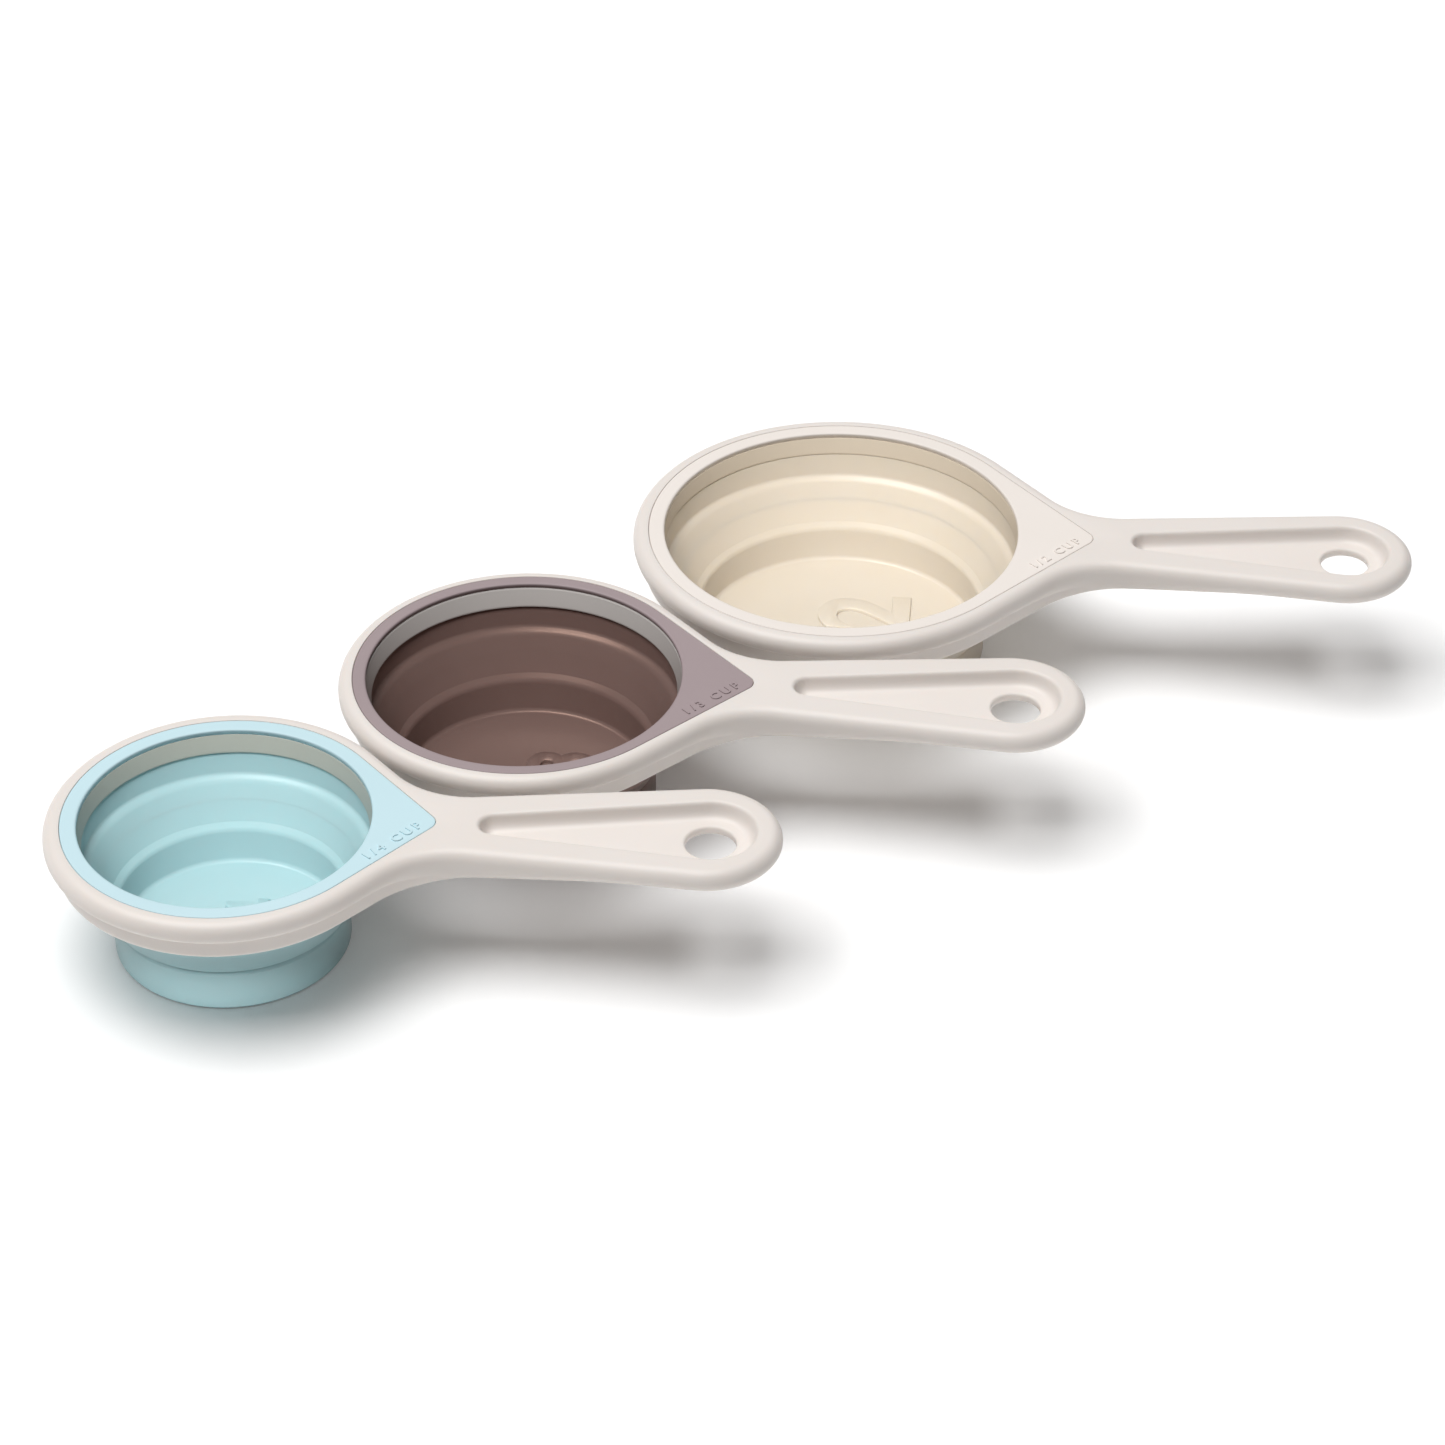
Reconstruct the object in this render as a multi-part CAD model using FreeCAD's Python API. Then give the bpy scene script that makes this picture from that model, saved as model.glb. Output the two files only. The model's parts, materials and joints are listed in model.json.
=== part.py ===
"""Set of three collapsible measuring cups, as separate pieces.

Each cup is a stiff handled frame, a flush coloured top panel, an inner collar and a silicone bowl.
The bowl is split at its fold lines, so that its bands can slide up into the frame as it collapses.
The cups stand on their feet in a diagonal row, with their handles towards +X.
Millimetres, +Z up. The origin is the centre of the medium cup's foot, on the table.
"""
import FreeCAD, Part
import math
import os
from FreeCAD import Vector

# Thicknesses of the frame, measured down from the rim plane.
CUP_HEIGHT = 31.6          # foot to rim plane, bowl pulled out
FRAME_THICKNESS = 9.6      # underside of the frame, round the bowl
NECK_THICKNESS = 7.6       # underside where the neck becomes the handle
HANDLE_THICKNESS = 5.4     # underside round the hang hole
BEAD_HEIGHT = 4.6          # underside of the rounded band round the top of the frame

# Heights of what is stacked in the frame's bore and hangs below it, from the rim plane downwards.
PANEL_THICKNESS = 1.2
COLLAR_HEIGHT = 4.5
FLANGE_THICKNESS = 1.2     # flange of the bowl, held between the collar and its seat in the frame
RIM_BAND_HEIGHT = 4.1
UPPER_FOLD_HEIGHT = 2.4
MIDDLE_BAND_HEIGHT = 4.9
LOWER_FOLD_HEIGHT = 3.4
FLOOR_THICKNESS = 1.5

# Widths and radii shared by the three cups.
BORE_WIDTH = 2.3           # opening to the bore that holds the collar and the flange
PANEL_GAP = 0.1            # clearance round the panel in its recess
PANEL_TIP_RADIUS = 3.0
COLLAR_TAPER = 1.3         # the collar's inner wall leans in by this much
BOWL_WALL = 1.2
MIDDLE_TOP_INSET = 2.2     # opening to the inside of the middle band's upper edge
NEST_GAP = 0.8             # base to the inside of the middle band, as the base slides through it
SKIRT_INSET = 2.0          # skirt under the bead, round the bowl
SKIRT_INSET_HANDLE = 0.4   # the same step, along the handle
TOP_ROUNDING = 2.8
SKIRT_ROUNDING = 1.0
FOOT_ROUNDING = 0.5
FLOOR_ROUNDING = 0.9

# Folding the bowl flat: the middle band rises until it is this far below the collar, and the base
# rises this many times as far.
FOLDED_GAP = 0.7
BASE_RISE_RATIO = 3.0

# Handle. Its lengths are measured from the centre of the hang hole.
HANG_HOLE_RADIUS = 5.4
HANDLE_END_RADIUS = 16.0
HANDLE_END_OFFSET = 0.8    # the end is rounded about a centre this much nearer to the bowl
NECK_RADIUS = 10.8
NECK_OFFSET = 50.0
NECK_BLEND_RADIUS = 20.0
END_LENGTH = 20.0          # level underside round the hang hole
TROUGH_END_RADIUS = 9.8
TROUGH_TIP_RADIUS = 3.3
TROUGH_TIP_OFFSET = 45.3
TROUGH_DEPTH = 3.4
TROUGH_ROUNDING = 1.8

# What differs between the cups. The widths are measured outwards from the opening to the edge of the
# round part of the panel and to the widest line of the frame, the taper inwards from the opening to
# the outside of the foot, the tip's reach from the round part of the panel, and the hole's distance
# from the widest line of the frame. Each cup stands in the row next to the one named before it.
CUPS = (
    {"name": "small", "opening_radius": 31.0, "panel_width": 3.5, "rim_width": 7.2,
     "bowl_taper": 5.8, "tip_reach": 10.0, "hole_reach": 64.1, "turn_deg": 2.1},
    {"name": "medium", "opening_radius": 34.8, "panel_width": 2.9, "rim_width": 6.1,
     "bowl_taper": 6.0, "tip_reach": 12.9, "hole_reach": 67.3, "turn_deg": 0.0},
    {"name": "large", "opening_radius": 40.8, "panel_width": 3.6, "rim_width": 7.2,
     "bowl_taper": 7.0, "tip_reach": 13.6, "hole_reach": 67.8, "turn_deg": 0.0},
)
SMALL, MEDIUM, LARGE = CUPS

# The row: direction from one bowl's axis to the next, and the gap left between their frames.
SMALL_TO_MEDIUM_DEG = 45.65
SMALL_TO_MEDIUM_GAP = 1.6
MEDIUM_TO_LARGE_DEG = 44.1
MEDIUM_TO_LARGE_GAP = 3.0

# Depths below the rim plane, from the stacked heights.
COLLAR_BOTTOM = PANEL_THICKNESS + COLLAR_HEIGHT
SEAT = COLLAR_BOTTOM + FLANGE_THICKNESS
RIM_BAND_BOTTOM = SEAT + RIM_BAND_HEIGHT
MIDDLE_BAND_TOP = RIM_BAND_BOTTOM + UPPER_FOLD_HEIGHT
MIDDLE_BAND_BOTTOM = MIDDLE_BAND_TOP + MIDDLE_BAND_HEIGHT
BASE_TOP = MIDDLE_BAND_BOTTOM + LOWER_FOLD_HEIGHT


def level(depth):
    """Height above the table of a level given as a depth below the rim plane."""
    return CUP_HEIGHT - depth


def panel_radius(cup):
    return cup["opening_radius"] + cup["panel_width"]


def frame_radius(cup):
    return cup["opening_radius"] + cup["rim_width"]


def foot_radius(cup):
    return cup["opening_radius"] - cup["bowl_taper"]


def hole_distance(cup):
    """From the bowl's axis to the centre of the hang hole."""
    return frame_radius(cup) + cup["hole_reach"]


def standing_place(cup):
    """Where the bowl's axis meets the table. The medium cup stands at the origin."""
    if cup is SMALL:
        apart = -(frame_radius(SMALL) + SMALL_TO_MEDIUM_GAP + frame_radius(MEDIUM))
        direction = math.radians(SMALL_TO_MEDIUM_DEG)
    elif cup is LARGE:
        apart = frame_radius(MEDIUM) + MEDIUM_TO_LARGE_GAP + frame_radius(LARGE)
        direction = math.radians(MEDIUM_TO_LARGE_DEG)
    else:
        return Vector(0, 0, 0)
    return Vector(apart * math.cos(direction), apart * math.sin(direction), 0)


def ring(profile):
    """Solid of revolution about Z from (radius, height) corners."""
    corners = [Vector(radius, 0, height) for radius, height in profile]
    face = Part.Face(Part.makePolygon(corners + corners[:1]))
    return face.revolve(Vector(0, 0, 0), Vector(0, 0, 1), 360)


def disc(radius, low, high, x=0.0):
    return Part.makeCylinder(radius, high - low, Vector(x, 0, low))


def polar(radius, angle, x=0.0):
    return Vector(x + radius * math.cos(angle), radius * math.sin(angle), 0)


def capsule(x_1, radius_1, x_2, radius_2, low, high):
    """Two circles on the X axis, at x_1 and x_2, joined by their outer tangents and raised."""
    angle = math.acos((radius_1 - radius_2) / (x_2 - x_1))
    upper_1 = polar(radius_1, angle, x_1)
    lower_1 = polar(radius_1, -angle, x_1)
    upper_2 = polar(radius_2, angle, x_2)
    lower_2 = polar(radius_2, -angle, x_2)
    edges = [
        Part.Arc(upper_1, Vector(x_1 - radius_1, 0, 0), lower_1).toShape(),
        Part.LineSegment(lower_1, lower_2).toShape(),
        Part.Arc(lower_2, Vector(x_2 + radius_2, 0, 0), upper_2).toShape(),
        Part.LineSegment(upper_2, upper_1).toShape(),
    ]
    face = Part.Face(Part.Wire(edges))
    face.translate(Vector(0, 0, low))
    return face.extrude(Vector(0, 0, high - low))


def handled_outline(ring_radius, flare_angle, neck_x, neck_radius, end_x, end_radius, low, high):
    """Ring, straight flare, hollow blend, tapered handle and round end, all tangent, raised."""
    taper = math.asin((end_radius - neck_radius) / (end_x - neck_x))
    flare_normal = Vector(math.cos(flare_angle), math.sin(flare_angle), 0)
    side_normal = Vector(-math.sin(taper), math.cos(taper), 0)
    flare_offset = ring_radius + NECK_BLEND_RADIUS
    side_offset = end_radius - end_x * math.sin(taper) + NECK_BLEND_RADIUS
    area = flare_normal.x * side_normal.y - flare_normal.y * side_normal.x
    centre = Vector(
        (flare_offset * side_normal.y - side_offset * flare_normal.y) / area,
        (flare_normal.x * side_offset - side_normal.x * flare_offset) / area,
        0,
    )
    blend_start = centre - flare_normal * NECK_BLEND_RADIUS
    blend_end = centre - side_normal * NECK_BLEND_RADIUS
    blend_middle = centre - (flare_normal + side_normal).normalize() * NECK_BLEND_RADIUS
    ring_end = polar(ring_radius, flare_angle)
    end_start = polar(end_radius, math.pi / 2 + taper, end_x)

    def mirrored(point):
        return Vector(point.x, -point.y, 0)

    edges = [
        Part.Arc(ring_end, Vector(-ring_radius, 0, 0), mirrored(ring_end)).toShape(),
        Part.LineSegment(mirrored(ring_end), mirrored(blend_start)).toShape(),
        Part.Arc(mirrored(blend_start), mirrored(blend_middle), mirrored(blend_end)).toShape(),
        Part.LineSegment(mirrored(blend_end), mirrored(end_start)).toShape(),
        Part.Arc(mirrored(end_start), Vector(end_x + end_radius, 0, 0), end_start).toShape(),
        Part.LineSegment(end_start, blend_end).toShape(),
        Part.Arc(blend_end, blend_middle, blend_start).toShape(),
        Part.LineSegment(blend_start, ring_end).toShape(),
    ]
    face = Part.Face(Part.Wire(edges))
    face.translate(Vector(0, 0, low))
    return face.extrude(Vector(0, 0, high - low))


def round_edges_at(shape, height, radius):
    """Round every edge that lies in the level plane at this height."""
    edges = [
        edge for edge in shape.Edges
        if abs(edge.BoundBox.ZMin - height) < 1e-4 and abs(edge.BoundBox.ZMax - height) < 1e-4
    ]
    return shape.makeFillet(radius, edges)


def panel_tip_x(cup):
    """Centre of the rounded tip of the panel."""
    return panel_radius(cup) + cup["tip_reach"] - PANEL_TIP_RADIUS


def panel_blank(cup, gap, low, high):
    """Teardrop of the top panel, without its opening."""
    radius = panel_radius(cup) + gap
    return capsule(0.0, radius, panel_tip_x(cup), PANEL_TIP_RADIUS + gap, low, high)


def handle_relief(cup):
    """What is cut away below the neck and the handle, which are thinner than the rest."""
    hole_x = hole_distance(cup)
    below = level(FRAME_THICKNESS) - 1.0
    beyond = hole_x + HANDLE_END_RADIUS + 1.0
    side = HANDLE_END_RADIUS + 1.0
    corners = [
        Vector(frame_radius(cup), -side, below),
        Vector(frame_radius(cup), -side, level(FRAME_THICKNESS)),
        Vector(hole_x - NECK_OFFSET, -side, level(NECK_THICKNESS)),
        Vector(hole_x - END_LENGTH, -side, level(HANDLE_THICKNESS)),
        Vector(beyond, -side, level(HANDLE_THICKNESS)),
        Vector(beyond, -side, below),
    ]
    return Part.Face(Part.makePolygon(corners + corners[:1])).extrude(Vector(0, 2 * side, 0))


def frame(cup):
    """Stiff ring, neck and handle, with the seats for the panel, the collar and the bowl."""
    top = level(0.0)
    underside = level(FRAME_THICKNESS)
    opening = cup["opening_radius"]
    hole_x = hole_distance(cup)
    neck_x = hole_x - NECK_OFFSET
    end_x = hole_x - HANDLE_END_OFFSET
    flare_angle = math.acos((panel_radius(cup) - PANEL_TIP_RADIUS) / panel_tip_x(cup))
    bead = handled_outline(
        frame_radius(cup), flare_angle, neck_x, NECK_RADIUS, end_x, HANDLE_END_RADIUS,
        level(BEAD_HEIGHT), top,
    )
    bead = round_edges_at(bead, top, TOP_ROUNDING)
    skirt = handled_outline(
        frame_radius(cup) - SKIRT_INSET, flare_angle,
        neck_x, NECK_RADIUS - SKIRT_INSET_HANDLE, end_x, HANDLE_END_RADIUS - SKIRT_INSET_HANDLE,
        underside, level(BEAD_HEIGHT),
    )
    skirt = round_edges_at(skirt, underside, SKIRT_ROUNDING)
    solid = bead.fuse(skirt.cut(handle_relief(cup)))

    solid = solid.cut(panel_blank(cup, PANEL_GAP, level(PANEL_THICKNESS), top))
    solid = solid.cut(disc(opening + BORE_WIDTH, level(SEAT), top))
    solid = solid.cut(disc(opening + BOWL_WALL, underside, top))

    trough = capsule(
        hole_x - TROUGH_TIP_OFFSET, TROUGH_TIP_RADIUS, hole_x, TROUGH_END_RADIUS,
        level(TROUGH_DEPTH), top + TROUGH_DEPTH,
    )
    solid = solid.cut(round_edges_at(trough, level(TROUGH_DEPTH), TROUGH_ROUNDING))
    return solid.cut(disc(HANG_HOLE_RADIUS, underside, top, hole_x)).removeSplitter()


def top_panel(cup):
    """Coloured teardrop trim, flush with the top of the frame."""
    blank = panel_blank(cup, 0.0, level(PANEL_THICKNESS), level(0.0))
    return blank.cut(disc(cup["opening_radius"], level(PANEL_THICKNESS), level(0.0)))


def collar(cup):
    """Ring under the panel that holds the bowl's flange down on its seat."""
    opening = cup["opening_radius"]
    return ring([
        (opening, level(PANEL_THICKNESS)),
        (opening + BORE_WIDTH, level(PANEL_THICKNESS)),
        (opening + BORE_WIDTH, level(COLLAR_BOTTOM)),
        (opening - COLLAR_TAPER, level(COLLAR_BOTTOM)),
    ])


def rim_band(cup):
    """Top of the silicone bowl: its flange and the upright band below it."""
    inside = cup["opening_radius"]
    outside = inside + BOWL_WALL
    return ring([
        (inside, level(COLLAR_BOTTOM)),
        (inside + BORE_WIDTH, level(COLLAR_BOTTOM)),
        (inside + BORE_WIDTH, level(SEAT)),
        (outside, level(SEAT)),
        (outside, level(RIM_BAND_BOTTOM)),
        (inside, level(RIM_BAND_BOTTOM)),
    ])


def middle_radii(cup):
    """Inside radii of the middle band, at its top and at its bottom."""
    return cup["opening_radius"] - MIDDLE_TOP_INSET, foot_radius(cup) + NEST_GAP


def upper_fold(cup):
    """Flexible web between the rim band and the middle band."""
    inside_top = cup["opening_radius"]
    inside_bottom = middle_radii(cup)[0]
    return ring([
        (inside_top, level(RIM_BAND_BOTTOM)),
        (inside_top + BOWL_WALL, level(RIM_BAND_BOTTOM)),
        (inside_bottom + BOWL_WALL, level(MIDDLE_BAND_TOP)),
        (inside_bottom, level(MIDDLE_BAND_TOP)),
    ])


def middle_band(cup):
    """Sloping band, which slides up inside the rim band."""
    inside_top, inside_bottom = middle_radii(cup)
    return ring([
        (inside_top, level(MIDDLE_BAND_TOP)),
        (inside_top + BOWL_WALL, level(MIDDLE_BAND_TOP)),
        (inside_bottom + BOWL_WALL, level(MIDDLE_BAND_BOTTOM)),
        (inside_bottom, level(MIDDLE_BAND_BOTTOM)),
    ])


def lower_fold(cup):
    """Flexible web between the middle band and the base."""
    inside_top = middle_radii(cup)[1]
    outside_bottom = foot_radius(cup)
    return ring([
        (inside_top, level(MIDDLE_BAND_BOTTOM)),
        (inside_top + BOWL_WALL, level(MIDDLE_BAND_BOTTOM)),
        (outside_bottom, level(BASE_TOP)),
        (outside_bottom - BOWL_WALL, level(BASE_TOP)),
    ])


def bowl_base(cup):
    """Upright wall, floor and flat foot of the bowl."""
    outer = round_edges_at(disc(foot_radius(cup), 0.0, level(BASE_TOP)), 0.0, FOOT_ROUNDING)
    inner = disc(foot_radius(cup) - BOWL_WALL, FLOOR_THICKNESS, level(BASE_TOP))
    return outer.cut(round_edges_at(inner, FLOOR_THICKNESS, FLOOR_ROUNDING))


PIECES = (frame, top_panel, collar, rim_band, upper_fold, middle_band, lower_fold, bowl_base)


def main():
    os.makedirs("parts", exist_ok=True)
    for cup in CUPS:
        for piece in PIECES:
            shape = piece(cup)
            shape.rotate(Vector(0, 0, 0), Vector(0, 0, 1), cup["turn_deg"])
            shape.translate(standing_place(cup))
            shape.exportStep("parts/" + cup["name"] + "_" + piece.__name__ + ".step")
    middle_rise = MIDDLE_BAND_TOP - COLLAR_BOTTOM - FOLDED_GAP
    print("middle band rises", middle_rise, "and the base", BASE_RISE_RATIO * middle_rise)


main()
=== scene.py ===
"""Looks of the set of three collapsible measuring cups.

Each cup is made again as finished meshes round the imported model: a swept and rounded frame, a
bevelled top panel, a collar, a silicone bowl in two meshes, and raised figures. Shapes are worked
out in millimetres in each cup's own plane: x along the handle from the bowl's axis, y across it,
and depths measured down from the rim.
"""
import json
import math
import bmesh
import bpy
import numpy as np
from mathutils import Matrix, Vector
from mathutils.geometry import delaunay_2d_cdt

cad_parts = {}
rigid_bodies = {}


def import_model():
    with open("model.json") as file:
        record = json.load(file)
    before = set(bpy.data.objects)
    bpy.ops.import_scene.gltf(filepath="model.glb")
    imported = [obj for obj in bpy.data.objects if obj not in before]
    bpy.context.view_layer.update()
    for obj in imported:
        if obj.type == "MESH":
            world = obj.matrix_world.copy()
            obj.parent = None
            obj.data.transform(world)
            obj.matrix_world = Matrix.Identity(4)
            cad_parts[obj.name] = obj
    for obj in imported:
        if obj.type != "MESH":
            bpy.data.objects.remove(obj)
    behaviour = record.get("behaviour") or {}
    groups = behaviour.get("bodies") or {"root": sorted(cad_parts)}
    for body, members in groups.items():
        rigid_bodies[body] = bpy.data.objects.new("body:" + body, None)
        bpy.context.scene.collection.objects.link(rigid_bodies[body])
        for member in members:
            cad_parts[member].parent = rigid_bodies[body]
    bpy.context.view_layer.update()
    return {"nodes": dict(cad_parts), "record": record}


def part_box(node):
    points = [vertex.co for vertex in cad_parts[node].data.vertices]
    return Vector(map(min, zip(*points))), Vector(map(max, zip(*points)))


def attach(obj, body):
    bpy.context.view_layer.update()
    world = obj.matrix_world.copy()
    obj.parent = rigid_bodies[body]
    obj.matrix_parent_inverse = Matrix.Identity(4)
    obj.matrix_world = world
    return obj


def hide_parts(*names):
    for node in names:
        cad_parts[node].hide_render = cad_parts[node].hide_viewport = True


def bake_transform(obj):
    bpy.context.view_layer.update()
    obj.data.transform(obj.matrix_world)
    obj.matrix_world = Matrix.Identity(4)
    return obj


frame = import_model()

MM = 0.001
RIM_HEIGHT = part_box("medium_frame")[1].z / MM

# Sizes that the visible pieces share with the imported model, in millimetres.
BORE_WIDTH = 2.3
WALL = 1.2
TIP_RADIUS = 3.0
PANEL_DEPTH = 1.2
PANEL_BOTTOM = 1.15
SEAT = 6.9
RING_DEPTH = 9.6
NECK_RADIUS, NECK_OFFSET, NECK_BLEND = 10.8, 50.0, 20.0
END_RADIUS, END_OFFSET = 16.0, 0.8
HOLE_RADIUS = 5.4
TROUGH_END, TROUGH_TIP, TROUGH_REACH, TROUGH_DEPTH = 9.8, 3.3, 45.3, 3.4
FOLD_TOP, FOLD_BOTTOM = 11.0, 13.4
LOWER_FOLD_TOP, LOWER_FOLD_BOTTOM = 18.3, 21.7
FLOOR_DEPTH = RIM_HEIGHT - 1.5

# Depth at which the bowl's two meshes meet, on the stiff middle band between the folds.
SEAM = 16.0

# How far the lower edge of each panel's opening is rounded off, over the collar.
LIP_RELIEF = {"small": 0.06, "medium": 0.34, "large": 0.06}

# How far each collar leans in over the bowl at its lower edge.
COLLAR_LEAN = {"small": 0.7, "medium": 1.1, "large": 0.25}

# How the finished frame is rounded.
TOP_ROUND = 2.6
TOP_SUPPORT = 2.75
SIDE_ROUND = 3.2
UNDER_SUPPORT = 3.9
BEAD_BOTTOM = 4.6
FADE_MARGIN = 2.0
# Depth of the underside at the round part, at the neck and near the hole, and how far each side of
# a point it is averaged so that it bends gently.
UNDER_DEPTHS = (RING_DEPTH, 7.6, 5.4)
UNDER_LEVEL_FROM_HOLE = 20.0
UNDER_AVERAGE = 7
UNDER_GRID = 2.5
UNDER_GRID_CLEARANCE = 0.8
SHARP_ANGLE = math.radians(36)

# How finely round parts are divided: steps to a full turn, steps along the frame's outline, and how
# far one step turns at a rounded corner of a section.
ROUND_STEPS = 160
HOLE_STEPS = 96
OUTLINE_SPACING = 1.0
ARC_MIN_STEPS = 16
CORNER_STEP = math.radians(11)

# Points closer than this are merged, and edges shorter than this are taken out, in metres.
MERGE_DISTANCE = 1e-6
SHORTEST_EDGE = 1e-7

# What each cup holds, the height of its figures on the floor, and how far along the handle's
# direction from the bowl's axis they stand.
SHARES = {"small": "1/4", "medium": "1/3", "large": "1/2"}
FIGURES = {"small": (13.5, 4.0), "medium": (16.0, 7.0), "large": (22.0, 5.5)}
FIGURE_LIFT = 0.8
FIGURE_WEIGHT = 0.018
WORD_HEIGHT = 2.4
WORD_LIFT = 0.24
WORD_WEIGHT = 0.012
WORD_SPACING = 1.5
WORD_FROM_EDGE = 2.6
WORD_FROM_TIP = 8.6

# Surface of the moulded materials: scale and detail of the cloudy variation, detail and roughness
# of the fine grain, how far the gloss strays from its mean, and the height of the grain and depth
# of the scattering in metres.
CLOUD_SCALE, CLOUD_DETAIL = 38.0, 3.0
GRAIN_DETAIL, GRAIN_ROUGHNESS = 4.0, 0.6
GLOSS_BELOW, GLOSS_ABOVE = 0.06, 0.08
GRAIN_HEIGHT = 0.00004
SCATTER_DEPTH = 0.002
REFRACTION = 1.46

# Middle of the table under the set, in metres, and the place of the lamp overhead.
MIDDLE = (0.05, 0.0, 0.0)
OVERHEAD = (-0.60, -0.05, 2.60)


class Cup:
    """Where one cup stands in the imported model, and the sizes that differ between the cups."""

    def __init__(self, name):
        self.name = name
        base_low, base_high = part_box(name + "_bowl_base")
        self.x0, self.y0 = (base_low.x + base_high.x) / 2, (base_low.y + base_high.y) / 2
        self.foot = (base_high.x - base_low.x) / 2 / MM
        collar_low, collar_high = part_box(name + "_collar")
        self.opening = (collar_high.x - collar_low.x) / 2 / MM - BORE_WIDTH
        self.panel = (self.x0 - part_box(name + "_top_panel")[0].x) / MM
        self.ring = (self.x0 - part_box(name + "_frame")[0].x) / MM
        mount = next(m for m in frame["record"]["mounts"] if m["name"] == name + "_hang_hole")
        along = Vector((mount["pos_m"][0] - self.x0, mount["pos_m"][1] - self.y0))
        self.hole = along.length / MM
        self.turn = math.atan2(along.y, along.x)
        # the panel's tip is furthest from the axis along the handle
        self.tip = reach_along(name + "_top_panel", self) - TIP_RADIUS
        self.flare = math.acos((self.panel - TIP_RADIUS) / self.tip)

    def place(self, x, y, depth):
        """A point of the cup's own plane, in the model's frame and in metres."""
        c, s = math.cos(self.turn), math.sin(self.turn)
        return (
            self.x0 + (x * c - y * s) * MM,
            self.y0 + (x * s + y * c) * MM,
            (RIM_HEIGHT - depth) * MM,
        )


def reach_along(node, cup):
    """How far a node reaches from the bowl's axis along the handle, in millimetres."""
    mesh = frame["nodes"][node].data
    co = np.empty(len(mesh.vertices) * 3)
    mesh.vertices.foreach_get("co", co)
    co = co.reshape(-1, 3)
    far = (co[:, 0] - cup.x0) * math.cos(cup.turn) + (co[:, 1] - cup.y0) * math.sin(cup.turn)
    return far.max() / MM


# ---------------------------------------------------------------- meshes

def new_mesh(name, points, faces, material, bodies, slot, nodes=()):
    """Makes one visible piece: merged, smooth, with its normals outwards, riding on its body."""
    mesh = bpy.data.meshes.new(name)
    mesh.from_pydata([Vector(p) for p in points], [], [tuple(f) for f in faces])
    bm = bmesh.new()
    bm.from_mesh(mesh)
    bmesh.ops.remove_doubles(bm, verts=bm.verts, dist=MERGE_DISTANCE)
    bmesh.ops.dissolve_degenerate(bm, edges=bm.edges, dist=SHORTEST_EDGE)
    bmesh.ops.recalc_face_normals(bm, faces=bm.faces)
    bm.to_mesh(mesh)
    bm.free()
    mesh.shade_smooth()
    mesh.set_sharp_from_angle(angle=SHARP_ANGLE)
    mesh.materials.append(material)
    piece = bpy.data.objects.new(name, mesh)
    bpy.context.scene.collection.objects.link(piece)
    if len(bodies) == 1:
        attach(piece, bodies[0])
    if nodes:
        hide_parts(*nodes)
    return piece


def rounded(corners, closed=False):
    """A line of (radius, depth) points from corners (radius, depth, rounding)."""
    line = []
    count = len(corners)
    for i, (r, d, rounding) in enumerate(corners):
        here = Vector((r, d))
        if rounding == 0 or (not closed and i in (0, count - 1)):
            line.append((r, d))
            continue
        before = Vector(corners[i - 1][:2])
        after = Vector(corners[(i + 1) % count][:2])
        u, v = (before - here).normalized(), (after - here).normalized()
        half = u.angle(v) / 2
        back = rounding / math.tan(half)
        centre = here + (u + v).normalized() * (rounding / math.sin(half))
        start, end = here + u * back - centre, here + v * back - centre
        turn = start.angle_signed(end)
        steps = max(2, math.ceil(abs(turn) / CORNER_STEP))
        base = math.atan2(start.y, start.x)
        for k in range(steps + 1):
            a = base - turn * k / steps
            line.append((centre.x + rounding * math.cos(a), centre.y + rounding * math.sin(a)))
    return line


def lathe(cup, line, closed):
    """Points and faces of a line of (radius, depth) turned about the cup's axis."""
    points, faces, rings = [], [], []
    segments = ROUND_STEPS
    for r, d in line:
        if r < 1e-6:
            rings.append([len(points)])
            points.append(cup.place(0, 0, d))
            continue
        rings.append(list(range(len(points), len(points) + segments)))
        for k in range(segments):
            a = 2 * math.pi * k / segments
            points.append(cup.place(r * math.cos(a), r * math.sin(a), d))
    pairs = list(zip(rings, rings[1:])) + ([(rings[-1], rings[0])] if closed else [])
    for one, two in pairs:
        for k in range(segments):
            n = (k + 1) % segments
            if len(one) == 1:
                faces.append((one[0], two[k], two[n]))
            elif len(two) == 1:
                faces.append((one[k], two[0], one[n]))
            else:
                faces.append((one[k], two[k], two[n], one[n]))
    return points, faces


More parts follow.
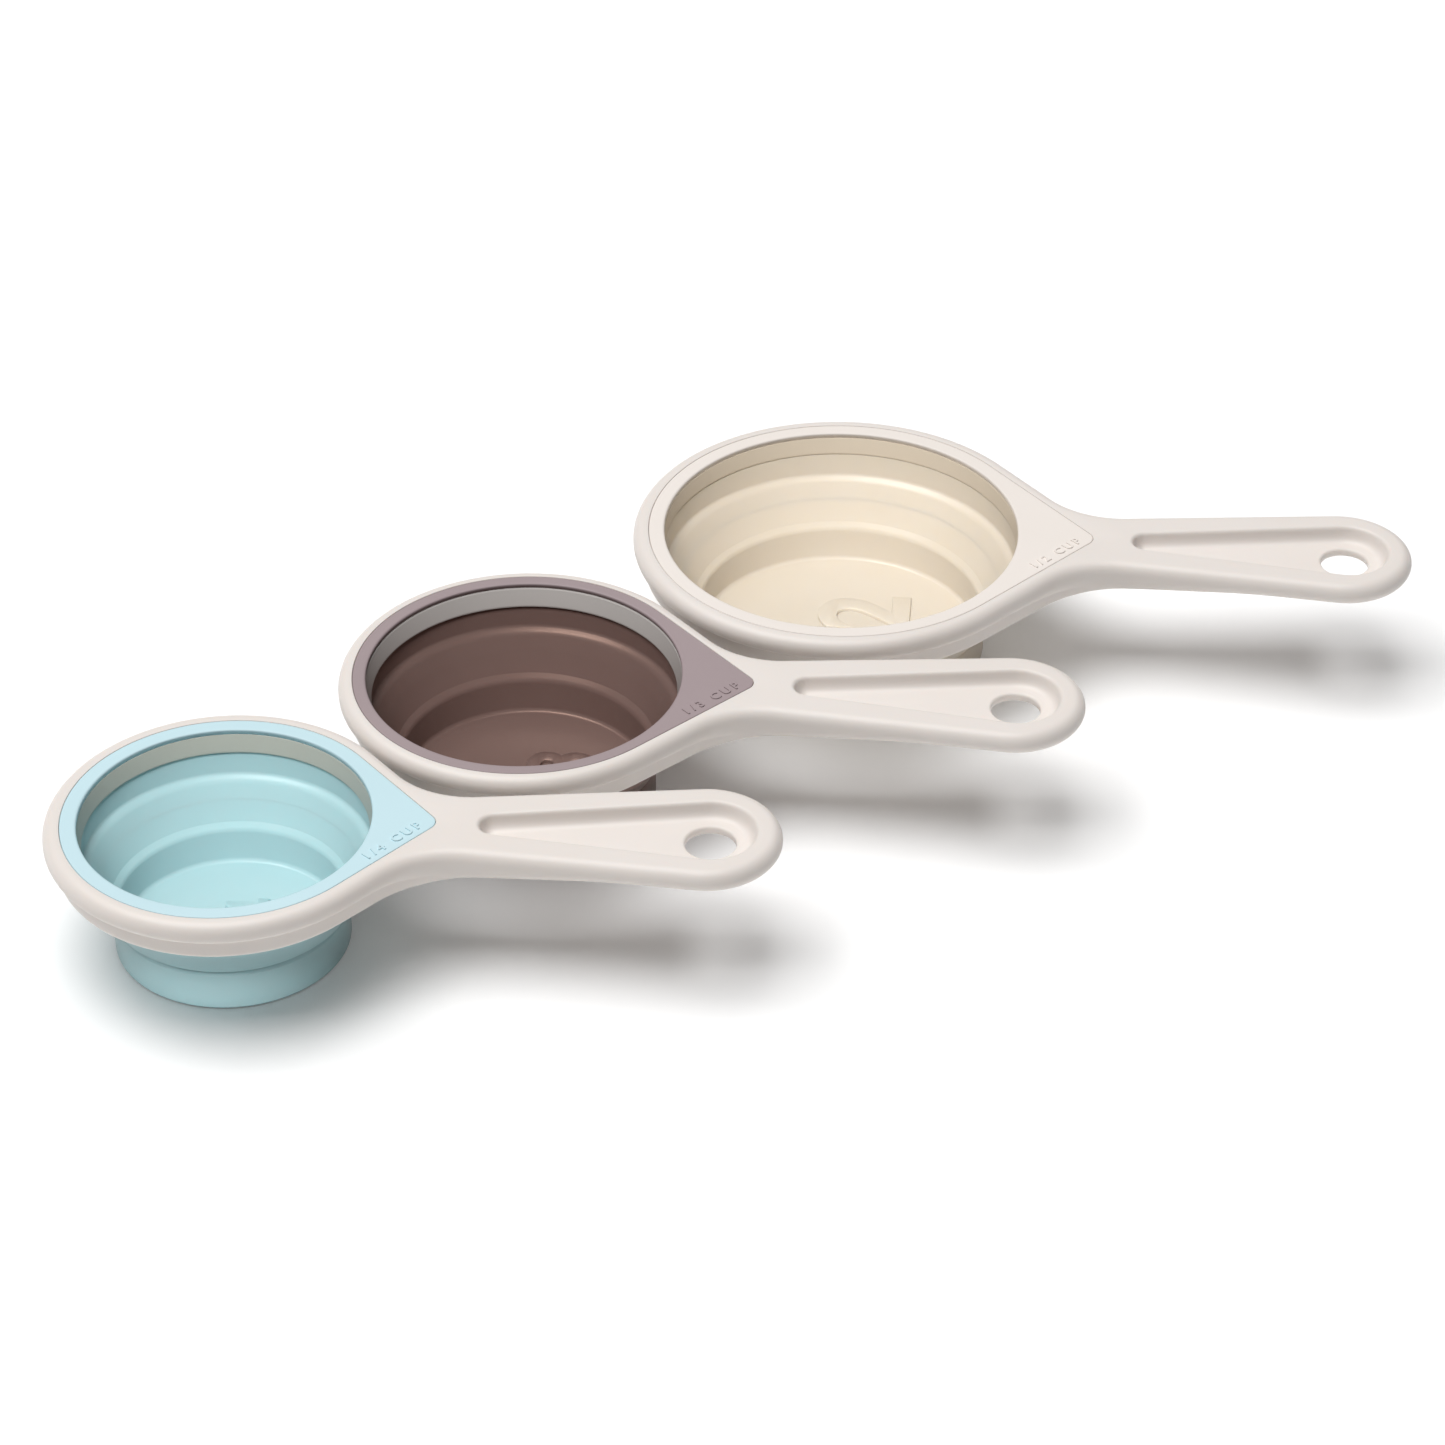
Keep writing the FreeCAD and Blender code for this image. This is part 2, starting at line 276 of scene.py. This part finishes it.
class Sheet:
    """Collects points and faces of one piece from loops and filled regions of a cup's plane."""

    def __init__(self, cup):
        self.cup, self.points, self.faces = cup, [], []

    def loop(self, flat, depths):
        first = len(self.points)
        for (x, y), d in zip(flat, depths):
            self.points.append(self.cup.place(x, y, d))
        return list(range(first, len(self.points)))

    def bridge(self, one, two):
        for k in range(len(one)):
            n = (k + 1) % len(one)
            self.faces.append((one[k], two[k], two[n], one[n]))

    def strip(self, loops):
        """Joins loops of (points, depths) one after another."""
        made = [self.loop(flat, depths) for flat, depths in loops]
        for one, two in zip(made, made[1:]):
            self.bridge(one, two)

    def sweep(self, outline_at, section):
        """Sweeps a section of (offset, depth) points round an outline, which the offset widens."""
        outlines = [outline_at(by) for by, _ in section]
        self.strip([(flat, [d] * len(flat)) for flat, (_, d) in zip(outlines, section)])

    def fill(self, outer, holes, depth_at, inside=()):
        """Triangles between an outer loop and the holes in it, at the depths that depth_at says."""
        flat, edges = [], []
        for ring in [outer, *holes]:
            first = len(flat)
            flat += [Vector(p) for p in ring]
            edges += [(first + k, first + (k + 1) % len(ring)) for k in range(len(ring))]
        flat += [Vector(p) for p in inside]
        verts, _, tris, *_ = delaunay_2d_cdt(flat, edges, [], 1, 1e-6)
        co = np.array([tuple(v) for v in verts])
        tri = np.array(tris)
        middle = co[tri].mean(axis=1)
        keep = within(middle, outer)
        for ring in holes:
            keep &= ~within(middle, ring)
        first = len(self.points)
        for x, y in co:
            self.points.append(self.cup.place(x, y, depth_at(x)))
        self.faces += [tuple(first + int(i) for i in t) for t in tri[keep]]


def within(points, ring):
    """Which points lie inside a closed loop."""
    ring = np.array(ring)
    nxt = np.roll(ring, -1, axis=0)
    px, py = points[:, 0:1], points[:, 1:2]
    crosses = (ring[:, 1] > py) != (nxt[:, 1] > py)
    rise = np.where(np.abs(nxt[:, 1] - ring[:, 1]) < 1e-12, 1e-12, nxt[:, 1] - ring[:, 1])
    at = (nxt[:, 0] - ring[:, 0]) * (py - ring[:, 1]) / rise + ring[:, 0]
    return (crosses & (px < at)).sum(axis=1) % 2 == 1


def circle(radius, x=0.0, count=ROUND_STEPS):
    """Outline of a circle whose middle is at x."""
    return [
        (x + radius * math.cos(2 * math.pi * k / count), radius * math.sin(2 * math.pi * k / count))
        for k in range(count)
    ]


def capsule(x_1, r_1, x_2, r_2):
    """Outline of two circles joined by their outer tangents, as (circle's x, radius, angle)."""
    angle = math.acos((r_1 - r_2) / (x_2 - x_1))
    spots = []

    def arc(x, r, a_0, a_1):
        steps = max(ARC_MIN_STEPS, math.ceil(r * abs(a_1 - a_0) / OUTLINE_SPACING))
        for k in range(steps + 1):
            a = a_0 + (a_1 - a_0) * k / steps
            spots.append((x, r, a))

    arc(x_1, r_1, angle, 2 * math.pi - angle)
    straight = math.hypot(x_2 - x_1, r_2 - r_1)
    steps = max(2, math.ceil(straight / (2 * OUTLINE_SPACING)))
    for k in range(1, steps):
        t = k / steps
        spots.append((x_1 + (x_2 - x_1) * t, r_1 + (r_2 - r_1) * t, -angle))
    arc(x_2, r_2, -angle, angle)
    for k in range(1, steps):
        t = 1 - k / steps
        spots.append((x_1 + (x_2 - x_1) * t, r_1 + (r_2 - r_1) * t, angle))
    return spots


def grown(spots, by):
    """The outline that is this much outside a capsule's."""
    return [(x + (r + by) * math.cos(a), (r + by) * math.sin(a)) for x, r, a in spots]


# ---------------------------------------------------------------- the frame

def frame_outline(cup):
    """Widest line of the frame: rows of x, y, the outward normal's x and y, and a fade.

    The fade goes from 0, where the section is the round part's, to 1, where it is the handle's.
    """
    spacing = OUTLINE_SPACING
    neck_x, end_x = cup.hole - NECK_OFFSET, cup.hole - END_OFFSET
    taper = math.asin((END_RADIUS - NECK_RADIUS) / (end_x - neck_x))
    flare_n = Vector((math.cos(cup.flare), math.sin(cup.flare)))
    side_n = Vector((-math.sin(taper), math.cos(taper)))
    flare_off = cup.ring + NECK_BLEND
    side_off = END_RADIUS - end_x * math.sin(taper) + NECK_BLEND
    area = flare_n.x * side_n.y - flare_n.y * side_n.x
    centre = Vector((
        (flare_off * side_n.y - side_off * flare_n.y) / area,
        (flare_n.x * side_off - side_n.x * flare_off) / area,
    ))
    rows = []
    steps = math.ceil(cup.ring * (math.pi - cup.flare) / spacing)
    for k in range(steps + 1):
        a = math.pi + (cup.flare - math.pi) * k / steps
        rows.append((cup.ring * math.cos(a), cup.ring * math.sin(a), math.cos(a), math.sin(a)))
    start, end = Vector(rows[-1][:2]), centre - flare_n * NECK_BLEND
    steps = max(2, math.ceil((end - start).length / spacing))
    for k in range(1, steps + 1):
        p = start.lerp(end, k / steps)
        rows.append((p.x, p.y, flare_n.x, flare_n.y))
    a_0, a_1 = math.atan2(-flare_n.y, -flare_n.x), math.atan2(-side_n.y, -side_n.x)
    steps = math.ceil(NECK_BLEND * abs(a_1 - a_0) / spacing)
    for k in range(1, steps + 1):
        a = a_0 + (a_1 - a_0) * k / steps
        n = Vector((-math.cos(a), -math.sin(a)))
        p = centre - n * NECK_BLEND
        rows.append((p.x, p.y, n.x, n.y))
    start, end = Vector(rows[-1][:2]), Vector((end_x, 0)) + side_n * END_RADIUS
    steps = math.ceil((end - start).length / spacing)
    for k in range(1, steps + 1):
        p = start.lerp(end, k / steps)
        rows.append((p.x, p.y, side_n.x, side_n.y))
    a_0 = math.atan2(side_n.y, side_n.x)
    steps = math.ceil(END_RADIUS * a_0 / spacing)
    for k in range(1, steps + 1):
        a = a_0 * (1 - k / steps)
        rows.append((end_x + END_RADIUS * math.cos(a), END_RADIUS * math.sin(a),
                     math.cos(a), math.sin(a)))
    rows[-1] = (end_x + END_RADIUS, 0.0, 1.0, 0.0)
    # the round part's section turns into the handle's along the neck
    fade_from = cup.ring * math.cos(cup.flare) - FADE_MARGIN
    fade_to = centre.x + FADE_MARGIN
    half = []
    for x, y, nx, ny in rows:
        t = min(1.0, max(0.0, (x - fade_from) / (fade_to - fade_from)))
        half.append((x, y, nx, ny, t * t * (3 - 2 * t)))
    return half + [(x, -y, nx, -ny, f) for x, y, nx, ny, f in half[-2:0:-1]]


def under_depth(cup, x):
    """Depth of the frame's underside, which rises towards the end of the handle."""
    xs = (cup.ring, cup.hole - NECK_OFFSET, cup.hole - UNDER_LEVEL_FROM_HOLE)
    shifts = range(-UNDER_AVERAGE, UNDER_AVERAGE + 1)
    return float(np.mean([np.interp(x + s, xs, UNDER_DEPTHS) for s in shifts]))


def frame_section(fade, under):
    """Section through the edge of the frame from its top to its underside, as (inset, depth)."""
    quarter = [math.radians(90 * k / 8) for k in range(9)]
    top = [(TOP_ROUND * (1 - math.sin(a)), TOP_ROUND * (1 - math.cos(a))) for a in quarter]
    curl = [math.radians(90 * k / 7) for k in range(1, 8)]
    # round the bowl: a bead, a step in to the skirt, and the skirt's rounded lower edge
    ring = [(1.6 * (1 - math.cos(a)), 3.0 + 1.6 * math.sin(a)) for a in curl]
    ring += [(2.2, 4.68), (2.3, 4.85), (2.22, 5.6), (2.26, 8.4)]
    ring += [(2.28 + 1.1 * (1 - math.cos(a)), 8.5 + 1.1 * math.sin(a)) for a in curl]
    skirt = (under - BEAD_BOTTOM) / (RING_DEPTH - BEAD_BOTTOM)
    ring = [(d, z if z <= BEAD_BOTTOM else BEAD_BOTTOM + (z - BEAD_BOTTOM) * skirt)
            for d, z in ring]
    # along the handle: a plain side with a wide rounding underneath
    low = min(SIDE_ROUND, under - TOP_ROUND)
    side = [(0.0, TOP_ROUND + (under - low - TOP_ROUND) * k / 7) for k in range(1, 8)]
    sweep = [math.radians(90 * k / 11) for k in range(1, 12)]
    side += [(low * (1 - math.cos(a)), under - low + low * math.sin(a)) for a in sweep]
    mixed = [(a[0] + (b[0] - a[0]) * fade, a[1] + (b[1] - a[1]) * fade)
             for a, b in zip(ring, side)]
    return [(TOP_SUPPORT, 0.0)] + top + mixed + [(UNDER_SUPPORT, under)]


def make_frame(cup, material):
    """The frame: round part, neck and handle in one mesh, with its recess, bore, hollow and hole."""
    sheet = Sheet(cup)
    outline = frame_outline(cup)
    count = len(frame_section(0, RING_DEPTH))
    columns = []
    for x, y, nx, ny, fade in outline:
        column = []
        for inset, _ in frame_section(fade, RING_DEPTH):
            column.append((x - nx * inset, y - ny * inset))
        section = [frame_section(fade, under_depth(cup, p[0]))[k] for k, p in enumerate(column)]
        columns.append([(p, d) for p, (_, d) in zip(column, section)])
    sheet.strip([([c[k][0] for c in columns], [c[k][1] for c in columns]) for k in range(count)])
    top_ring = [c[0][0] for c in columns]
    under_ring = [c[-1][0] for c in columns]

    # recess and seats for the panel, the collar and the bowl
    panel = capsule(0.0, cup.panel, cup.tip, TIP_RADIUS)
    recess = [(0.26, 0.0), (0.16, 0.03), (0.1, 0.14), (0.1, PANEL_DEPTH)]
    sheet.sweep(lambda by: grown(panel, by), recess)
    bore = circle(cup.opening + BORE_WIDTH)
    sheet.fill(grown(panel, 0.1), [bore], lambda x: PANEL_DEPTH)
    inner = [(BORE_WIDTH, PANEL_DEPTH), (BORE_WIDTH, SEAT), (WALL, SEAT), (WALL, 9.2),
             (WALL + 0.12, 9.48), (WALL + 0.4, RING_DEPTH)]
    sheet.sweep(lambda by: circle(cup.opening + by), inner)

    # hollow along the handle, and the hole through its end
    trough = capsule(cup.hole - TROUGH_REACH, TROUGH_TIP, cup.hole, TROUGH_END)
    steps = [(1.0, 0.0), (0.75, 0.0), (0.45, 0.07), (0.15, 0.27), (-0.05, 0.55), (-0.2, 0.9),
             (-0.45, 1.6), (-0.75, 2.25), (-1.1, 2.75), (-1.5, 3.1), (-2.0, 3.32),
             (-2.5, TROUGH_DEPTH), (-2.8, TROUGH_DEPTH)]
    sheet.sweep(lambda by: grown(trough, by), steps)
    floor = grown(trough, steps[-1][0])
    under_hole = under_depth(cup, cup.hole)
    hole = [(0.75, TROUGH_DEPTH), (0.6, TROUGH_DEPTH), (0.28, 3.49), (0.08, 3.7), (0.0, 4.0),
            (0.0, under_hole - 0.6), (0.08, under_hole - 0.3), (0.28, under_hole - 0.09),
            (0.6, under_hole), (0.75, under_hole)]
    sheet.sweep(lambda by: circle(HOLE_RADIUS + by, cup.hole, HOLE_STEPS), hole)
    rim = circle(HOLE_RADIUS + hole[0][0], cup.hole, HOLE_STEPS)
    sheet.fill(floor, [rim], lambda x: TROUGH_DEPTH)

    # the top, then the underside, which has extra points so that it can curve
    sheet.fill(top_ring, [grown(panel, recess[0][0]), grown(trough, steps[0][0])], lambda x: 0.0)
    spots = [
        (x, y) for x in np.arange(cup.ring - 8.0, cup.hole + 12.0, UNDER_GRID)
        for y in np.arange(-30.0, 30.1, UNDER_GRID)
    ]
    opening = circle(cup.opening + WALL + 0.4)
    spots = np.array(spots)
    near = within(spots, under_ring) & ~within(spots, circle(cup.opening + WALL + 1.5))
    near &= ~within(spots, circle(HOLE_RADIUS + 2.0, cup.hole, HOLE_STEPS))
    clear = np.array([
        min(math.hypot(p[0] - q[0], p[1] - q[1]) for q in under_ring) > UNDER_GRID_CLEARANCE
        for p in spots
    ])
    sheet.fill(under_ring, [opening, rim], lambda x: under_depth(cup, x),
               [tuple(p) for p in spots[near & clear]])
    return new_mesh(cup.name + "_frame_finished", sheet.points, sheet.faces, material,
                    [cup.name + "_frame"], "frame_plastic", [cup.name + "_frame"])


def make_panel(cup, material, slot):
    """The flush teardrop panel, with a fine round on its edges."""
    sheet = Sheet(cup)
    outline = capsule(0.0, cup.panel, cup.tip, TIP_RADIUS)
    edge = [(-0.4, 0.0), (-0.22, 0.0), (-0.08, 0.05), (0.0, 0.2), (0.0, 1.1), (-0.4, PANEL_BOTTOM)]
    sheet.sweep(lambda by: grown(outline, by), edge)
    relief = LIP_RELIEF[cup.name]
    lip = [(0.7, 0.0), (0.5, 0.0), (0.22, 0.06), (0.05, 0.22), (0.0, 0.42), (0.0, 1.13 - relief),
           (0.35 * relief, 1.13 - 0.3 * relief), (relief, 1.13), (0.7, PANEL_BOTTOM)]
    sheet.sweep(lambda by: circle(cup.opening + by), lip)
    for depth in (0.0, PANEL_BOTTOM):
        sheet.fill(grown(outline, edge[0][0]), [circle(cup.opening + lip[0][0])], lambda x: depth)
    return new_mesh(cup.name + "_panel_finished", sheet.points, sheet.faces, material,
                    [cup.name + "_frame"], slot, [cup.name + "_top_panel"])


def make_collar(cup, material):
    """The collar between the panel and the bowl's flange, leaning in a little downwards."""
    o, relief, lean = cup.opening, LIP_RELIEF[cup.name], COLLAR_LEAN[cup.name]
    line = rounded([
        (o + relief, 1.18, 0.0), (o - 0.02, 1.18 + 0.9 * relief, 0.4 * relief),
        (o - lean, 5.2, 0.5), (o - lean + 0.1, 5.66, 0.2),
        (o + 2.2, 5.68, 0.2), (o + 2.2, 1.24, 0.2),
    ], closed=True)
    return new_mesh(cup.name + "_collar_finished", *lathe(cup, line, True), material,
                    [cup.name + "_frame"], "collar_plastic", [cup.name + "_collar"])


# ---------------------------------------------------------------- the bowl

def make_bowl(cup, material, slot):
    """The bowl, in two meshes that meet on the middle band."""
    o, f = cup.opening, cup.foot
    # the middle band slopes straight between these two points of the inside
    top_in, bottom_in = (o - 2.3, 13.6), (f + 0.3, 20.3)
    slope = (top_in[0] - bottom_in[0]) / (bottom_in[1] - top_in[1])
    seam_in = top_in[0] - slope * (SEAM - top_in[1])
    seam_out = seam_in + WALL * math.hypot(1, slope)
    # upright band, then the upper fold's crest
    upper_in = rounded([
        (o + 2.2, 5.74, 0), (o, 5.74, 0.3), (o, 11.5, 0.9), (o - 1.6, 12.35, 2.6),
        (seam_in, SEAM, 0),
    ])
    upper_out = rounded([
        (seam_out, SEAM, 0), (o - 0.7, 13.5, 1.6), (o + WALL, 12.6, 0.9), (o + WALL, 6.86, 0),
        (o + 2.2, 6.86, 0),
    ])
    upper = new_mesh(cup.name + "_bowl_upper", *lathe(cup, upper_in + upper_out, True), material,
                     [], slot, [cup.name + "_rim_band", cup.name + "_upper_fold",
                                cup.name + "_middle_band"])
    cup.place(0, 0, FOLD_TOP)
    cup.place(0, 0, FOLD_BOTTOM)
    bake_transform(upper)
    # floor, upright wall, the lower fold's crest and the groove above it
    lower_in = rounded([
        (0, FLOOR_DEPTH, 0), (f - WALL, FLOOR_DEPTH, 1.0), (f - WALL + 0.02, 21.75, 1.7),
        (f + 0.3, 20.5, 0.4), (seam_in, SEAM, 0),
    ])
    lower_out = rounded([
        (seam_out, SEAM, 0), (f + 1.5, 19.9, 0.6), (f + 1.2, 20.7, 0.4), (f - 0.45, 21.95, 0.25),
        (f + 0.02, 22.9, 0.5), (f, RIM_HEIGHT, 0.5), (f - 4.0, RIM_HEIGHT, 0), (0, RIM_HEIGHT, 0),
    ])
    lower = new_mesh(cup.name + "_bowl_lower", *lathe(cup, lower_in + lower_out, False), material,
                     [], slot, [cup.name + "_lower_fold", cup.name + "_bowl_base"])
    cup.place(0, 0, LOWER_FOLD_TOP)
    cup.place(0, 0, LOWER_FOLD_BOTTOM)
    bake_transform(lower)


def figures(name, cup, words, look, place, turn, depth, body, material, slot):
    """Raised figures, centred on a point (x, y) of the cup's plane and standing up from a depth.

    look is their height and lift in millimetres, how bold they are, and how widely they are spaced.
    """
    (x, y), (tall, lift, bold, spacing) = place, look
    curve = bpy.data.curves.new(name, "FONT")
    curve.body = words
    curve.align_x, curve.align_y = "CENTER", "CENTER"
    curve.resolution_u = 5
    curve.offset = bold
    curve.space_character = spacing
    curve.extrude = 0.02
    curve.bevel_depth = 0.012
    curve.bevel_resolution = 1
    holder = bpy.data.objects.new(name + "_curve", curve)
    mesh = bpy.data.meshes.new_from_object(holder)
    co = np.array([tuple(v.co) for v in mesh.vertices])
    faces = [tuple(f.vertices) for f in mesh.polygons]
    low, high = co.min(axis=0), co.max(axis=0)
    co = (co - (low + high) / 2) / (high[1] - low[1]) * tall
    up = co[:, 2] / np.abs(co[:, 2]).max() * lift
    c, s = math.cos(turn), math.sin(turn)
    points = [cup.place(x + u * c - v * s, y + u * s + v * c, depth - h)
              for (u, v, _), h in zip(co, up)]
    bpy.data.objects.remove(holder)
    bpy.data.curves.remove(curve)
    bpy.data.meshes.remove(mesh)
    return new_mesh(name, points, faces, material, [body], slot)


def mark_cup(cup, panel_material, panel_slot, bowl_material, bowl_slot):
    """Capacity figures on the bowl's floor, read with the handle down, and on the panel's edge."""
    share = SHARES[cup.name]
    tall, x = FIGURES[cup.name]
    figures(cup.name + "_floor_share", cup, share, (tall, FIGURE_LIFT, FIGURE_WEIGHT, 1.0), (x, 0.0),
            math.pi / 2, FLOOR_DEPTH, cup.name + "_base", bowl_material, bowl_slot)
    normal = Vector((math.cos(cup.flare), -math.sin(cup.flare)))
    along = Vector((math.sin(cup.flare), math.cos(cup.flare)))
    spot = (Vector((cup.tip, 0.0)) + normal * (TIP_RADIUS - WORD_FROM_EDGE)
            - along * WORD_FROM_TIP)
    figures(cup.name + "_panel_words", cup, share + " CUP",
            (WORD_HEIGHT, WORD_LIFT, WORD_WEIGHT, WORD_SPACING), spot, math.pi / 2 - cup.flare, 0.0,
            cup.name + "_frame", panel_material, panel_slot)


# ---------------------------------------------------------------- materials

def srgb(r, g, b):
    """Linear colour from 0-255 display values."""
    return tuple((v / 12.92 if v <= 0.04045 else ((v + 0.055) / 1.055) ** 2.4)
                 for v in (r / 255, g / 255, b / 255)) + (1.0,)


def moulded(name, colour, shade, roughness, grain, bump, subsurface=0.0, scatter=(1, 1, 1)):
    """Moulded plastic or silicone: slight cloudy variation of colour and gloss, and a fine grain.

    The cloud drifts between the colour and the shade; grain is the scale of the fine noise, and bump
    its strength.
    """
    material = bpy.data.materials.new(name)
    material.use_nodes = True
    nodes, links = material.node_tree.nodes, material.node_tree.links
    shader = nodes["Principled BSDF"]
    place = nodes.new("ShaderNodeTexCoord")
    cloud = nodes.new("ShaderNodeTexNoise")
    cloud.inputs["Scale"].default_value = CLOUD_SCALE
    cloud.inputs["Detail"].default_value = CLOUD_DETAIL
    links.new(place.outputs["Object"], cloud.inputs["Vector"])
    mix = nodes.new("ShaderNodeMix")
    mix.data_type = "RGBA"
    mix.inputs["A"].default_value = colour
    mix.inputs["B"].default_value = shade
    links.new(cloud.outputs["Fac"], mix.inputs["Factor"])
    links.new(mix.outputs["Result"], shader.inputs["Base Color"])
    fine = nodes.new("ShaderNodeTexNoise")
    fine.inputs["Scale"].default_value = grain
    fine.inputs["Detail"].default_value = GRAIN_DETAIL
    fine.inputs["Roughness"].default_value = GRAIN_ROUGHNESS
    links.new(place.outputs["Object"], fine.inputs["Vector"])
    gloss = nodes.new("ShaderNodeMapRange")
    gloss.inputs["To Min"].default_value = roughness - GLOSS_BELOW
    gloss.inputs["To Max"].default_value = roughness + GLOSS_ABOVE
    links.new(fine.outputs["Fac"], gloss.inputs["Value"])
    links.new(gloss.outputs["Result"], shader.inputs["Roughness"])
    relief = nodes.new("ShaderNodeBump")
    relief.inputs["Strength"].default_value = bump
    relief.inputs["Distance"].default_value = GRAIN_HEIGHT
    links.new(fine.outputs["Fac"], relief.inputs["Height"])
    links.new(relief.outputs["Normal"], shader.inputs["Normal"])
    shader.inputs["IOR"].default_value = REFRACTION
    shader.inputs["Subsurface Weight"].default_value = subsurface
    shader.inputs["Subsurface Radius"].default_value = scatter
    shader.inputs["Subsurface Scale"].default_value = SCATTER_DEPTH
    return material


FRAME_PLASTIC = moulded("frame_plastic", srgb(231, 224, 219), srgb(227, 219, 212), 0.42, 1500, 0.25,
                        0.12, (1.0, 0.7, 0.5))
# The collars are darker than the frame's plastic. Part of this is their own slightly greyer tone,
# and part is painted shade of the shadowed recess under the panel.
COLLAR_PAINTED_SHADE = {
    "small": moulded("collar_grey", srgb(163, 165, 156), srgb(157, 159, 151), 0.4, 1500, 0.2),
    "medium": moulded("collar_cool_grey", srgb(155, 150, 147), srgb(148, 144, 141), 0.4, 1500, 0.2),
    "large": moulded("collar_beige", srgb(200, 189, 173), srgb(194, 182, 164), 0.42, 1500, 0.2),
}
# Each panel has the lit tone of its cup's silicone, lighter than the bowl of the same material:
# painted top light and sheen on the upward-facing flange.
PANEL_PAINTED_LIGHT = {
    "small": moulded("panel_blue", srgb(201, 229, 236), srgb(194, 222, 230), 0.5, 1800, 0.25),
    "medium": moulded("panel_mauve", srgb(165, 149, 151), srgb(156, 141, 143), 0.5, 1800, 0.3),
    "large": moulded("panel_cream", srgb(238, 230, 224), srgb(233, 225, 217), 0.5, 1800, 0.25),
}
SILICONE = {
    "small": moulded("silicone_blue", srgb(160, 190, 193), srgb(154, 184, 188), 0.32, 1100, 0.2,
                     0.2, (0.4, 1.0, 1.0)),
    "medium": moulded("silicone_brown", srgb(103, 84, 79), srgb(95, 76, 71), 0.32, 1100, 0.2,
                      0.1, (1.0, 0.5, 0.4)),
    "large": moulded("silicone_cream", srgb(206, 197, 183), srgb(202, 191, 174), 0.32, 1100, 0.2,
                     0.25, (1.0, 0.8, 0.5)),
}
brown_shader = SILICONE["medium"].node_tree.nodes["Principled BSDF"]
brown_shader.inputs["Specular Tint"].default_value = (1.0, 0.66, 0.52, 1.0)
brown_shader.inputs["Specular IOR Level"].default_value = 0.8
PANEL_SLOT = {"small": "panel_blue", "medium": "panel_mauve", "large": "panel_cream"}
SILICONE_SLOT = {"small": "silicone_blue", "medium": "silicone_brown", "large": "silicone_cream"}

for cup in (Cup("small"), Cup("medium"), Cup("large")):
    make_frame(cup, FRAME_PLASTIC)
    make_panel(cup, PANEL_PAINTED_LIGHT[cup.name], PANEL_SLOT[cup.name])
    make_collar(cup, COLLAR_PAINTED_SHADE[cup.name])
    make_bowl(cup, SILICONE[cup.name], SILICONE_SLOT[cup.name])
    mark_cup(cup, PANEL_PAINTED_LIGHT[cup.name], PANEL_SLOT[cup.name], SILICONE[cup.name],
             SILICONE_SLOT[cup.name])

# ---------------------------------------------------------------- floor, lights and camera

bpy.ops.mesh.primitive_plane_add(size=8.0, location=MIDDLE)
floor = bpy.context.object
floor.name = "floor"
floor_paint = bpy.data.materials.new("floor_paint")
floor_paint.use_nodes = True
floor_shader = floor_paint.node_tree.nodes["Principled BSDF"]
floor_shader.inputs["Base Color"].default_value = (0.97, 0.97, 0.97, 1)
floor_shader.inputs["Roughness"].default_value = 0.9
floor_shader.inputs["Emission Color"].default_value = (1, 1, 1, 1)
floor_shader.inputs["Emission Strength"].default_value = 0.06
floor_shader.inputs["Specular IOR Level"].default_value = 0.0
floor.data.materials.append(floor_paint)


def area_light(name, place, target, size, power):
    """A white rectangular lamp at a place, turned towards a target."""
    data = bpy.data.lights.new(name, "AREA")
    data.shape = "RECTANGLE"
    data.size, data.size_y = size
    data.energy = power
    lamp = bpy.data.objects.new(name, data)
    lamp.location = place
    lamp.rotation_euler = (Vector(target) - Vector(place)).to_track_quat("-Z", "Y").to_euler()
    bpy.context.scene.collection.objects.link(lamp)
    return lamp


key = area_light("key", OVERHEAD, MIDDLE, (2.2, 2.2), 85.0)
key_bowls = area_light("key_bowls", OVERHEAD, MIDDLE, (2.2, 2.2), 18.0)
area_light("back", (0.3, 2.2, 1.6), MIDDLE, (1.6, 0.8), 4.0)
into_bowls = area_light("into_bowls", (-0.15, -1.35, 1.82), (0.0, 0.0, 0.0), (0.9, 0.6), 68.0)
into_bowls.visible_glossy = False
crest_gloss = area_light("crest_gloss", (-0.50, 0.3, 2.60), MIDDLE, (2.4, 1.4), 80.0)
crest_gloss.visible_diffuse = False

# The bowls and collars have lamps of their own, so that their insides are lit as brightly and evenly
# as the frames. Everything else has the key lamp.
bowls = bpy.data.collections.new("bowls")
others = bpy.data.collections.new("others")
BOWL_PIECES = ("_bowl_upper", "_bowl_lower", "_collar_finished", "_floor_share")
for piece in bpy.context.scene.objects:
    group = bowls if piece.name.endswith(BOWL_PIECES) else others
    group.objects.link(piece)
key.light_linking.receiver_collection = others
for lamp in (key_bowls, into_bowls, crest_gloss):
    lamp.light_linking.receiver_collection = bowls

world = bpy.data.worlds.new("studio")
world.use_nodes = True
world.node_tree.nodes["Background"].inputs["Color"].default_value = (1.0, 1.0, 1.0, 1.0)
world.node_tree.nodes["Background"].inputs["Strength"].default_value = 0.08
bpy.context.scene.world = world
bpy.context.scene.view_settings.view_transform = "Standard"

camera_data = bpy.data.cameras.new("camera")
camera_data.sensor_width = 36.0
camera_data.lens = 108.3
camera = bpy.data.objects.new("camera", camera_data)
camera.location = (0.1084, -0.7771, 0.5800)
camera.rotation_euler = (math.radians(54.34), 0.0, math.radians(4.75))
bpy.context.scene.collection.objects.link(camera)
bpy.context.scene.camera = camera
